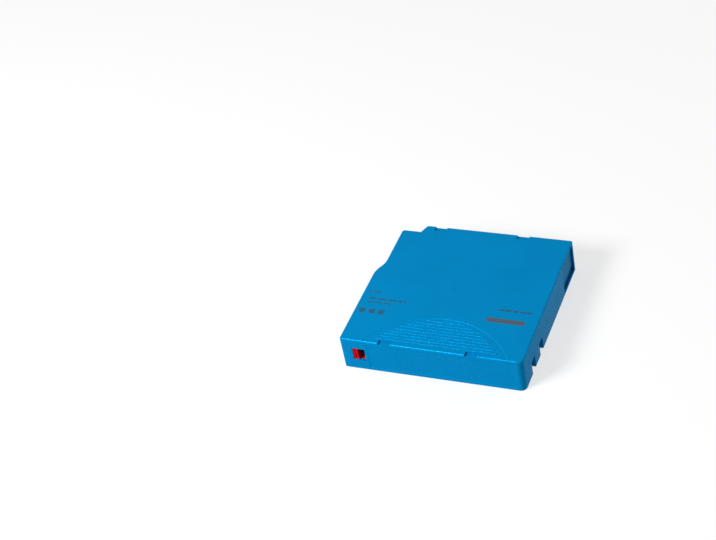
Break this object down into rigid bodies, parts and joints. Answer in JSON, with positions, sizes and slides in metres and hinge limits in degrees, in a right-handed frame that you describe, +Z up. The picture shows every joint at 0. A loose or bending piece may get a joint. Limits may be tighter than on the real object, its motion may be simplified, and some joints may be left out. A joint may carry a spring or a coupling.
{
  "type": "half-inch data tape cartridge",
  "caption": "Flat single-reel data tape cartridge with grip ribs on top, a sliding door over the leader pin, a red write-protect slider and a toothed drive hub underneath.",
  "frame": {"origin": "under the middle of the case, on the plane that it lies on", "axes": "+X across the label end to the right, +Y from the label end to the drive end, +Z up"},
  "size_m": [0.1054, 0.102, 0.0215],
  "materials": {
    "case_plastic": "fine moulded texture",
    "screw_steel": "plated",
    "hub_plastic": "moulded, off-white",
    "flange_plastic": "moulded, off-white",
    "clutch_steel": "pressed ring",
    "tape_film": "smooth wound film",
    "pin_steel": "turned and polished",
    "clip_plastic": "moulded",
    "spring_steel": "drawn wire and sheet",
    "brake_plastic": "moulded",
    "release_plastic": "moulded",
    "door_plastic": "moulded, darker blue",
    "slider_plastic": "moulded, red",
    "board_laminate": "coated laminate",
    "chip_resin": "cast resin",
    "antenna_copper": "etched loop"
  },
  "bodies": {
    "case": {"cover_shell": "case_plastic", "base_shell": "case_plastic", "datum_post": "case_plastic", "case_screws": "screw_steel", "leader_pin": "pin_steel", "leader_clip": "clip_plastic", "pin_spring": "spring_steel", "tape_leader": "tape_film", "memory_board": "board_laminate", "memory_chip": "chip_resin", "memory_antenna": "antenna_copper", "brake_spring": "spring_steel", "door_spring": "spring_steel"},
    "reel": {"reel_hub": "hub_plastic", "reel_flange": "flange_plastic", "clutch_plate": "clutch_steel", "tape_pack": "tape_film"},
    "brake": {"brake_button": "brake_plastic"},
    "release": {"release_pad": "release_plastic"},
    "door": {"access_door": "door_plastic"},
    "write_protect": {"write_protect_slider": "slider_plastic"}
  },
  "joints": [
    {"name": "reel_spin", "type": "hinge", "parent": "case", "child": "reel", "pos_m": [-0.0012, 0, 0.01075], "axis": [0, 0, 1], "continuous": true},
    {"name": "brake_lift", "type": "slide", "parent": "case", "child": "brake", "axis": [0, 0, 1], "range_m": [0, 0.0018], "stiffness_N_per_m": 1000, "springref_m": -0.004, "deforming": ["brake_spring"]},
    {"name": "release_lift", "type": "slide", "parent": "reel", "child": "release", "axis": [0, 0, 1], "range_m": [0, 0.0018]},
    {"name": "door_slide", "type": "slide", "parent": "case", "child": "door", "axis": [0, -1, 0], "range_m": [0, 0.0206], "stiffness_N_per_m": 25, "springref_m": -0.02, "deforming": ["door_spring"]},
    {"name": "write_protect_slide", "type": "slide", "parent": "case", "child": "write_protect", "axis": [1, 0, 0], "range_m": [0, 0.0044]}
  ],
  "couplings": [
    {"joint": "release_lift", "follows": "brake_lift", "ratio": 1}
  ]
}
